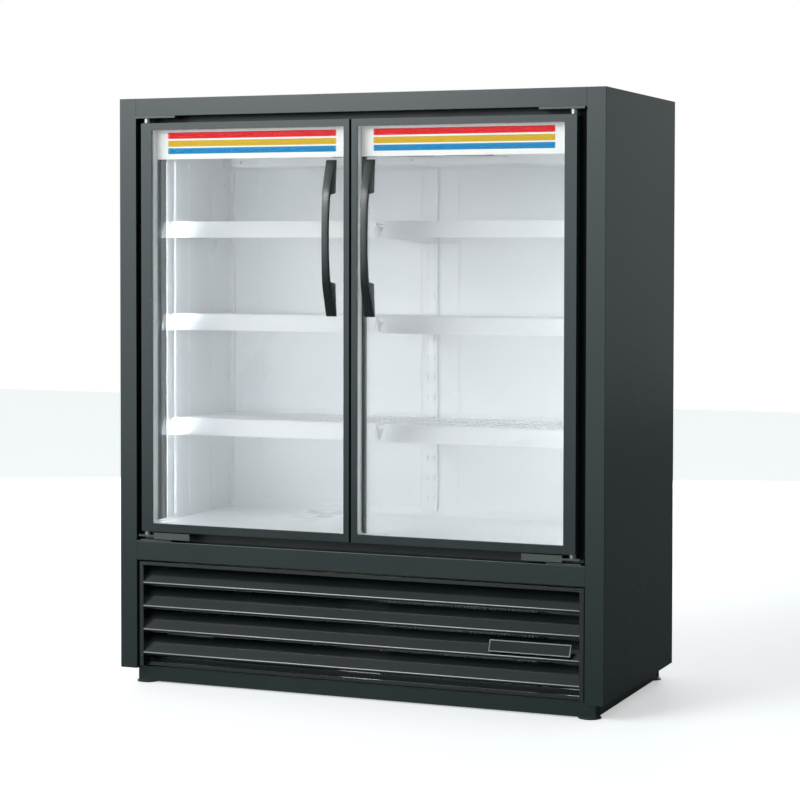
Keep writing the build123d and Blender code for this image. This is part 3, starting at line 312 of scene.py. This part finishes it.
def glass():
    """Clear glazing, faintly smeared and not quite flat."""
    clear, smeared = (1.0, 1.0, 1.0), (0.97, 0.985, 0.98)
    f = Finish("glass", clear, 0.0, Transmission_Weight=1.0, IOR=1.25, Alpha=0.12)
    place = place_of(f.tree)
    smear_scale, smear_low, smear_high = 7.0, 0.5, 0.8
    smear = span(f.tree, noise(f.tree, place, smear_scale, 4.0, 0.6), smear_low, smear_high)
    f.link(f.blend(smear, clear, smeared), "Base Color")
    ripple_scale, ripple_height, ripple_strength = 2.5, 0.0001, 0.1
    f.bump(noise(f.tree, place, ripple_scale, 1.0, 0.4), ripple_height, ripple_strength)
    return f


# top and bottom of each band, as shares of the sign's height from its top, and its colour
SIGN_BANDS = ((0.08, 0.30, (0.80, 0.010, 0.016)), (0.36, 0.57, (0.62, 0.40, 0.012)),
              (0.62, 0.82, (0.0, 0.215, 0.47)))
SIGN_WHITE = (0.83, 0.84, 0.82)
SIGN_MARGIN = 30.0 * MM


def sign_film():
    """White translucent strip with three bands of colour, bright from the lamps behind it."""
    f = Finish("sign_film", (0.80, 0.81, 0.80), 0.45, Specular_IOR_Level=0.1)
    t = f.tree
    low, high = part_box("sign_left")
    xyz = add(t, "ShaderNodeSeparateXYZ", {0: place_of(t)})
    down = span(t, xyz.outputs["Z"], high.z, low.z)
    side = maths(t, "ABSOLUTE", xyz.outputs["X"])
    inner, outer = -high.x + SIGN_MARGIN, -low.x - SIGN_MARGIN

    def between(value, a, b):
        return maths(t, "MULTIPLY", maths(t, "GREATER_THAN", value, a),
                     maths(t, "LESS_THAN", value, b))

    inside = between(side, inner, outer)
    now = SIGN_WHITE
    pale_share, pale_lift, pale_keep, pale_from = 0.4, 0.30, 0.65, 0.94
    for top, bottom, colour in SIGN_BANDS:
        band = between(down, top, bottom)
        tint = span(t, down, top, top + (bottom - top) * pale_share, pale_from, 1.0)
        paint = f.blend(tint, tuple(pale_lift + c * pale_keep for c in colour), colour)
        now = f.blend(maths(t, "MULTIPLY", band, inside), now, paint)
    fine = f.group(VARIED, Blotch=5.0, Grain=1500.0)
    grime, grime_most = (0.3, 0.3, 0.3), 0.04
    dull = span(t, fine.outputs["Blotches"], NOISE_LOW, NOISE_HIGH, 0.0, grime_most)
    now = f.blend(dull, now, grime)
    f.link(now, "Base Color")
    f.link(now, "Emission Color")
    f.shader.inputs["Emission Strength"].default_value = 0.10
    f.bump(fine.outputs["Fine"], 0.00001)
    return f


def galv():
    """Galvanised sheet with its spangle, each crystal with its own tone and gloss."""
    light, dark = (0.55, 0.57, 0.58), (0.36, 0.38, 0.39)
    f = finish("galv", light, 0.42, metal=1.0, edge=0.0005)
    t = f.tree
    crystals = 70.0
    cell = add(t, "ShaderNodeTexVoronoi", {"Vector": place_of(t), "Scale": crystals})
    tone = add(t, "ShaderNodeSeparateColor", {0: cell.outputs["Color"]}).outputs[0]
    darkest, smooth, rough = 0.5, 0.32, 0.5
    f.link(f.blend(span(t, tone, 0.0, 1.0, 0.0, darkest), light, dark), "Base Color")
    f.link(span(t, tone, 0.0, 1.0, smooth, rough), "Roughness")
    return f


def badge_metal():
    """Satin rim round a dark field."""
    rim, field = (0.42, 0.43, 0.44), (0.05, 0.055, 0.057)
    f = finish("badge_metal", rim, 0.30, metal=1.0, edge=0.0004)
    low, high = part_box("badge")
    depth = add(f.tree, "ShaderNodeSeparateXYZ", {0: place_of(f.tree)}).outputs["Y"]
    sunk = maths(f.tree, "GREATER_THAN", depth, low.y + 0.5 * MM)
    f.link(f.blend(sunk, rim, field), "Base Color")
    return f


MATERIALS = {name: finish(name, **values).material for name, values in FINISHES.items()}
for make in (lamp_lens, glass, sign_film, galv, badge_metal):
    MATERIALS[make.__name__] = make().material

for part in frame["record"]["subparts"]:
    mesh = frame["nodes"][part["node"]].data
    mesh.materials.clear()
    mesh.materials.append(MATERIALS[part["material_slot"]])


# ---- modelling ----
FACING = 0.9
ROUND_SIDES = 12
EDGE_ANGLE = math.radians(40)


def take(item):
    """Makes a piece the only one selected."""
    bpy.ops.object.select_all(action="DESELECT")
    bpy.context.view_layer.objects.active = item
    item.select_set(True)


def begin(adder, **values):
    """Adds a primitive with nothing else selected, settles its place, and opens it for editing."""
    bpy.ops.object.select_all(action="DESELECT")
    adder(**values)
    bpy.ops.object.transform_apply(location=True, rotation=True, scale=True)
    bpy.ops.object.mode_set(mode="EDIT")


def choose(test):
    """Selects only the faces that pass the test."""
    bpy.ops.mesh.select_mode(type="FACE")
    bpy.ops.mesh.select_all(action="DESELECT")
    data = bpy.context.object.data
    mesh = bmesh.from_edit_mesh(data)
    for face in mesh.faces:
        face.select_set(bool(test(face)))
    mesh.select_flush_mode()
    bmesh.update_edit_mesh(data)


def push(x=0.0, y=0.0, z=0.0):
    """Extrudes the chosen faces by a distance."""
    bpy.ops.mesh.extrude_region_move(TRANSFORM_OT_translate={"value": (x, y, z)})


def shift(x=0.0, y=0.0, z=0.0):
    """Moves the chosen faces."""
    bpy.ops.transform.translate(value=(x, y, z))


def widen(x, y, z, centre=ORIGIN):
    """Scales the chosen faces about a point."""
    bpy.ops.transform.resize(value=(x, y, z), center_override=centre)


def close_edit(name):
    """Leaves edit mode with doubles merged and faces turned outwards."""
    bpy.ops.mesh.select_mode(type="VERT")
    bpy.ops.mesh.select_all(action="SELECT")
    bpy.ops.mesh.remove_doubles(threshold=1e-6)
    bpy.ops.mesh.normals_make_consistent(inside=False)
    bpy.ops.object.mode_set(mode="OBJECT")
    item = bpy.context.object
    item.name = name
    item.data.name = name
    return item


def soften(item, width, segments):
    """Rounds a piece's sharp edges with an applied Bevel modifier."""
    take(item)
    change = item.modifiers.new("bevel", "BEVEL")
    change.width = width
    change.segments = segments
    change.limit_method = "ANGLE"
    change.angle_limit = EDGE_ANGLE
    bpy.ops.object.modifier_apply(modifier=change.name)


def settle(item, slot_name, body, angle=35.0):
    """Smooth shading, finish, slot and body of a new piece."""
    take(item)
    bpy.ops.object.shade_smooth_by_angle(angle=math.radians(angle))
    item.data.materials.clear()
    item.data.materials.append(MATERIALS[slot_name])
    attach(item, body)


def scatter(master, name, places, slot_name, body):
    """Copies of a master at each place, their +Z turned the way given, joined as one piece."""
    copies = []
    for place, way in places:
        twin = bpy.data.objects.new(name, master.data.copy())
        turn = Vector(way).to_track_quat("Z", "Y").to_matrix().to_4x4()
        twin.data.transform(Matrix.Translation(place) @ turn)
        bpy.context.scene.collection.objects.link(twin)
        copies.append(twin)
    take(copies[0])
    for twin in copies:
        twin.select_set(True)
    bpy.ops.object.join()
    joined = bpy.context.object
    joined.name = name
    joined.data.name = name
    settle(joined, slot_name, body)


def hoop(name, points, radius, slot_name, body):
    """A closed round cord through points, as one mesh."""
    data = bpy.data.curves.new(name, "CURVE")
    data.dimensions = "3D"
    data.bevel_depth = radius
    data.bevel_resolution = 2
    data.use_fill_caps = True
    line = data.splines.new("POLY")
    line.points.add(len(points) - 1)
    for knot, place in zip(line.points, points):
        knot.co = tuple(place) + (1.0,)
    line.use_cyclic_u = True
    item = bpy.data.objects.new(name, data)
    bpy.context.scene.collection.objects.link(item)
    take(item)
    bpy.ops.object.convert(target="MESH")
    bpy.ops.object.mode_set(mode="EDIT")
    settle(close_edit(name), slot_name, body, angle=50.0)


def domed_head(radius, rise, drum, steps):
    """A drum with narrowing steps (share of the rise, share of the width), its top left chosen."""
    begin(bpy.ops.mesh.primitive_cylinder_add, vertices=ROUND_SIDES, radius=radius,
          depth=rise * drum, location=(0.0, 0.0, rise * drum / 2))
    choose(lambda f: f.normal.z > FACING)
    for up, narrow in steps:
        push(z=rise * up)
        widen(narrow, narrow, 1.0)


def pan_screw(radius, rise):
    """Round-headed screw, its head domed, with a round recess."""
    domed_head(radius, rise, 0.5, ((0.3, 0.86), (0.2, 0.74)))
    recess_rim, recess_deep = 0.22, 0.5
    bpy.ops.mesh.inset(thickness=radius * recess_rim)
    push(z=-rise * recess_deep)
    return close_edit("master_screw")


def dome_rivet(radius, rise):
    """Low domed rivet head."""
    domed_head(radius, rise, 0.3, ((0.4, 0.80), (0.3, 0.55)))
    return close_edit("master_rivet")


# ---- doors ----
# half of the pull from its end: distance along it in mm, then its front and back faces as
# shares of its depth from the door outwards
PULL_STEPS = ((0.0, 0.17, 0.0), (10.0, 0.27, 0.0), (26.0, 0.43, 0.0), (45.0, 0.60, 0.0),
              (62.0, 0.755, 0.0), (75.0, 0.845, 0.0), (79.0, 0.862, 0.66), (95.0, 0.92, 0.735),
              (115.0, 0.96, 0.775), (140.0, 0.988, 0.804), (160.0, 0.998, 0.813))
PULL_WAIST = 0.67
PULL_FLARE = 2.2
PULL_ROUND = 1.8 * MM
SEAL_FOLD_R = 1.3 * MM
SEAL_FOLD_SHARES = (0.30, 0.62)


def pull(side):
    """Bowed grip between two broad feet, waisted towards the middle and rounded on its edges."""
    low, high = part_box("handle_" + side)
    middle_x = (low.x + high.x) / 2
    half = (high.x - low.x) / 2
    deep = high.y - low.y
    length = high.z - low.z
    steps = list(PULL_STEPS) + [(length / MM - t, f, b) for t, f, b in reversed(PULL_STEPS)]

    def section(step):
        t, front, back = step
        away = abs(2 * t * MM / length - 1)
        width = half * (PULL_WAIST + (1 - PULL_WAIST) * away ** PULL_FLARE)
        return low.z + t * MM, high.y - deep * front, high.y - deep * back, width

    z, front, back, width = section(steps[0])
    begin(bpy.ops.mesh.primitive_plane_add, size=1.0, location=ORIGIN)
    choose(lambda f: True)
    widen(2 * width, back - front, 1.0)
    shift(middle_x, (front + back) / 2, z)
    for step in steps[1:]:
        z2, front2, back2, width2 = section(step)
        push(z=z2 - z)
        centre = (middle_x, (front + back) / 2, z2)
        widen(width2 / width, (back2 - front2) / (back - front), 1.0, centre)
        shift(y=(front2 + back2 - front - back) / 2)
        z, front, back, width = z2, front2, back2, width2
    item = close_edit("pull_" + side)
    soften(item, PULL_ROUND, 3)
    settle(item, "handle", "door_" + side)
    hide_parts("handle_" + side)


def seal(side):
    """Folds of the soft seal round the back of a door."""
    low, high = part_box("gasket_" + side)
    r = SEAL_FOLD_R
    x0, x1 = low.x + r, high.x - r
    z0, z1 = low.z + r, high.z - r
    for number, share in enumerate(SEAL_FOLD_SHARES):
        y = low.y + (high.y - low.y) * share
        ring = [(x0, y, z0), (x1, y, z0), (x1, y, z1), (x0, y, z1)]
        hoop(f"seal_fold_{side}_{number + 1}", ring, r, "gasket", "door_" + side)


# ---- fixings ----
PLUG_DEEP = 23.0 * MM
PLUG_THICK = 4.0 * MM
PLUG_IN = 3.0 * MM
PLUG_GAP = 1.0 * MM
PLUG_RIM = 2.0 * MM
PLUG_DISH = 1.2 * MM
PLUG_PAD_IN = 2.5 * MM
PLUG_PAD_RISE = 0.8 * MM
PLUG_ROUND = 0.4 * MM


def base_caps():
    """Dished plugs with a raised pad in the open ends of the base's front and rear channels."""
    low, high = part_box("base_frame")
    z = (low.z + high.z) / 2
    size = (PLUG_THICK, PLUG_DEEP, high.z - low.z - PLUG_GAP)
    from_end = PLUG_DEEP / 2 + PLUG_GAP
    for name, y in (("front", low.y + from_end), ("rear", high.y - from_end)):
        for side, way in zip(SIDES, (-1.0, 1.0)):
            begin(bpy.ops.mesh.primitive_cube_add, size=1.0, scale=size,
                  location=(way * (high.x - PLUG_IN), y, z))
            choose(lambda f: f.normal.x * way > FACING)
            bpy.ops.mesh.inset(thickness=PLUG_RIM)
            push(x=-way * PLUG_DISH)
            bpy.ops.mesh.inset(thickness=PLUG_PAD_IN)
            push(x=way * PLUG_PAD_RISE)
            item = close_edit(f"base_plug_{name}_{side}")
            soften(item, PLUG_ROUND, 2)
            settle(item, "foot_black", "cabinet")


def inset_pair(low, high, inset):
    """Two places, each the same distance in from its end."""
    return low + inset, high - inset


def fixings():
    """Screws and rivets where sheet, plates and strips are held."""
    screw = pan_screw(3.4 * MM, 2.2 * MM)
    small = pan_screw(2.4 * MM, 1.6 * MM)
    rivet = dome_rivet(2.0 * MM, 1.0 * MM)

    # seven down each edge of the back panel
    low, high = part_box("back_panel")
    end, edge, gaps = 14 * MM, 10 * MM, 6
    rows = [low.z + end + i * (high.z - low.z - 2 * end) / gaps for i in range(gaps + 1)]
    spots = [((x, high.y, z), (0, 1, 0)) for z in rows for x in inset_pair(low.x, high.x, edge)]
    scatter(screw, "back_panel_screws", spots, "zinc", "cabinet")

    # two under each upper hinge plate
    low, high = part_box("hinge_brackets")
    y, z = low.y + 24 * MM, high.z - 5 * MM
    spots = [((x * way, y, z), (0, 0, -1)) for x in (low.x + 38 * MM, low.x + 70 * MM)
             for way in (1, -1)]
    scatter(small, "hinge_plate_screws", spots, "zinc", "cabinet")

    # one at each corner of the grille
    low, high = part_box("grille")
    spots = [((x, low.y, z), (0, -1, 0)) for x in inset_pair(low.x, high.x, 7 * MM)
             for z in (low.z + 24 * MM, high.z - 10 * MM)]
    scatter(small, "grille_screws", spots, "louvre_black", "cabinet")

    # one at each end of each price strip, square to its sloping face
    lean = Vector((0.0, -39.0, 19.0)).normalized()
    from_end, behind, below = 26 * MM, 8.6 * MM, 12 * MM
    for side in SIDES:
        low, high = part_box("price_strips_" + side)
        levels = [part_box(f"shelf_{side}_{level}")[1].z for level in ("low", "middle", "high")]
        spots = [((x, low.y + behind, z - below), lean) for z in levels
                 for x in inset_pair(low.x, high.x, from_end)]
        scatter(rivet, f"strip_rivets_{side}", spots, "white_plastic", "cabinet")

    # along the top and bottom of the evaporator's housing
    low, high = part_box("evaporator_housing")
    edge = 12 * MM
    spots = [((x, low.y, z), (0, -1, 0)) for x in (low.x + edge, 0.0, high.x - edge)
             for z in inset_pair(low.z, high.z, edge)]
    scatter(small, "cooler_housing_screws", spots, "zinc", "cabinet")

    for master in (screw, small, rivet):
        bpy.data.objects.remove(master, do_unlink=True)


for side in SIDES:
    pull(side)
    seal(side)
base_caps()
fixings()


# ---- stage ----
GLOW = 3.5
ROOM = 0.60
ROOM_LOW = 0.06
GLOW_WAY = (-0.62, -0.77, 0.10)
COOL, WHITE = (0.90, 0.98, 1.0, 1.0), (1.0, 1.0, 1.0, 1.0)
MIDDLE = (0.0, 0.0, 0.7)

FLOOR_SIZE = 14.0
FLOOR_MIDDLE = (0.0, 2.0, 0.0)
FLOOR_PALE, FLOOR_PAINTED_REFLECTION = 0.88, 0.10
FLOOR_LIFT = 0.42

CAMERA_PLACE = (2.02145, -4.89936, 1.03858)
YAW, PITCH, ROLL = 0.3891, -0.03277, 0.00165


def floor():
    """Plain pale floor, with a painted dark reflection: it turns dark only for glossy rays, so the
    cabinet's gloss mirrors a dark floor.
    """
    bpy.ops.mesh.primitive_plane_add(size=FLOOR_SIZE, location=FLOOR_MIDDLE)
    plane = bpy.context.object
    plane.name = "floor"
    material = bpy.data.materials.new("pale_floor")
    material.use_nodes = True
    tree = material.node_tree
    shader = tree.nodes["Principled BSDF"]
    path = add(tree, "ShaderNodeLightPath").outputs
    mirrored = maths(tree, "SUBTRACT", path["Is Glossy Ray"], path["Is Transmission Ray"],
                     clamp=True)
    # painted reflection: dark tone for glossy rays only, which darkens the lower parts of the
    # cabinet's gloss
    tone = span(tree, mirrored, 0.0, 1.0, FLOOR_PALE, FLOOR_PAINTED_REFLECTION)
    tree.links.new(tone, shader.inputs["Base Color"])
    shader.inputs["Roughness"].default_value = 0.7
    shader.inputs["Emission Color"].default_value = WHITE
    lift = maths(tree, "MULTIPLY", path["Is Camera Ray"], FLOOR_LIFT)
    tree.links.new(lift, shader.inputs["Emission Strength"])
    plane.data.materials.append(material)


def area_light(name, place, target, wide, tall, power):
    """Soft rectangular light aimed at a point."""
    data = bpy.data.lights.new(name, "AREA")
    data.shape = "RECTANGLE"
    data.size = wide
    data.size_y = tall
    data.energy = power
    light = bpy.data.objects.new(name, data)
    light.location = place
    light.rotation_euler = (Vector(target) - Vector(place)).to_track_quat("-Z", "Y").to_euler()
    bpy.context.scene.collection.objects.link(light)
    return light


def pale_room():
    """White background that lights with a broad glow from the front left and a dimmer room."""
    world = bpy.data.worlds.new("pale_room")
    world.use_nodes = True
    tree = world.node_tree
    way = add(tree, "ShaderNodeTexCoord").outputs["Generated"]
    facing = dot(tree, way, Vector(GLOW_WAY).normalized())
    height = add(tree, "ShaderNodeSeparateXYZ", {0: way}).outputs["Z"]
    glow_edge, horizon_low, horizon_high = 0.76, -0.16, 0.06
    above = span(tree, height, horizon_low, horizon_high)
    glow = maths(tree, "MULTIPLY", span(tree, facing, glow_edge, 1.0, 0.0, GLOW), above)
    room_low, room_high, dome_low, dome_high = -0.25, 0.30, 0.45, 0.95
    room = maths(tree, "SUBTRACT", span(tree, height, room_low, room_high, ROOM_LOW, ROOM),
                 span(tree, height, dome_low, dome_high, 0.0, ROOM * 0.5))
    path = add(tree, "ShaderNodeLightPath").outputs
    seen = maths(tree, "MAXIMUM", path["Is Camera Ray"], path["Is Transmission Ray"])
    light = maths(tree, "ADD", room, glow)
    background = tree.nodes["Background"]
    links = {MIX_FACTOR: seen, MIX_FLOAT_A: light, MIX_FLOAT_B: 1.0}
    strength = add(tree, "ShaderNodeMix", links, data_type="FLOAT").outputs[MIX_FLOAT_OUT]
    tree.links.new(strength, background.inputs["Strength"])
    links = {MIX_FACTOR: seen, MIX_A: COOL, MIX_B: WHITE}
    tint = add(tree, "ShaderNodeMix", links, data_type="RGBA").outputs[MIX_OUT]
    tree.links.new(tint, background.inputs["Color"])
    bpy.context.scene.world = world


def studio():
    """The pale room and its soft lights."""
    pale_room()
    bpy.context.scene.view_settings.view_transform = "Standard"
    area_light("left_softbox", (-3.2, -3.0, 2.6), MIDDLE, 1.6, 2.4, power=22.0)
    area_light("top_softbox", (-1.58, -3.58, 2.5), MIDDLE, 1.5, 1.0, power=55.0)
    back = area_light("back_softbox", (-1.6, 4.4, 0.70), MIDDLE, 2.8, 1.2, power=60.0)
    back.visible_camera = False
    # over the shelves, aimed at the back wall and never seen itself
    inside = area_light("cold_space_glow", (0.0, -0.060, 0.86), (0.0, 0.940, 0.86), 1.05, 0.94,
                        power=0.95)
    inside.visible_camera = False
    inside.visible_glossy = False
    inside.visible_transmission = False


def camera():
    """Level view from the front right."""
    data = bpy.data.cameras.new("camera")
    data.lens = 100.49
    data.sensor_width = 36.0
    data.shift_y = -0.10
    data.clip_start = 0.1
    data.clip_end = 60.0
    item = bpy.data.objects.new("camera", data)
    turn = Matrix.Rotation(YAW, 4, "Z") @ Matrix.Rotation(math.pi / 2 + PITCH, 4, "X")
    turn = turn @ Matrix.Rotation(ROLL, 4, "Z")
    item.matrix_world = Matrix.Translation(CAMERA_PLACE) @ turn
    bpy.context.scene.collection.objects.link(item)
    bpy.context.scene.camera = item


floor()
studio()
camera()
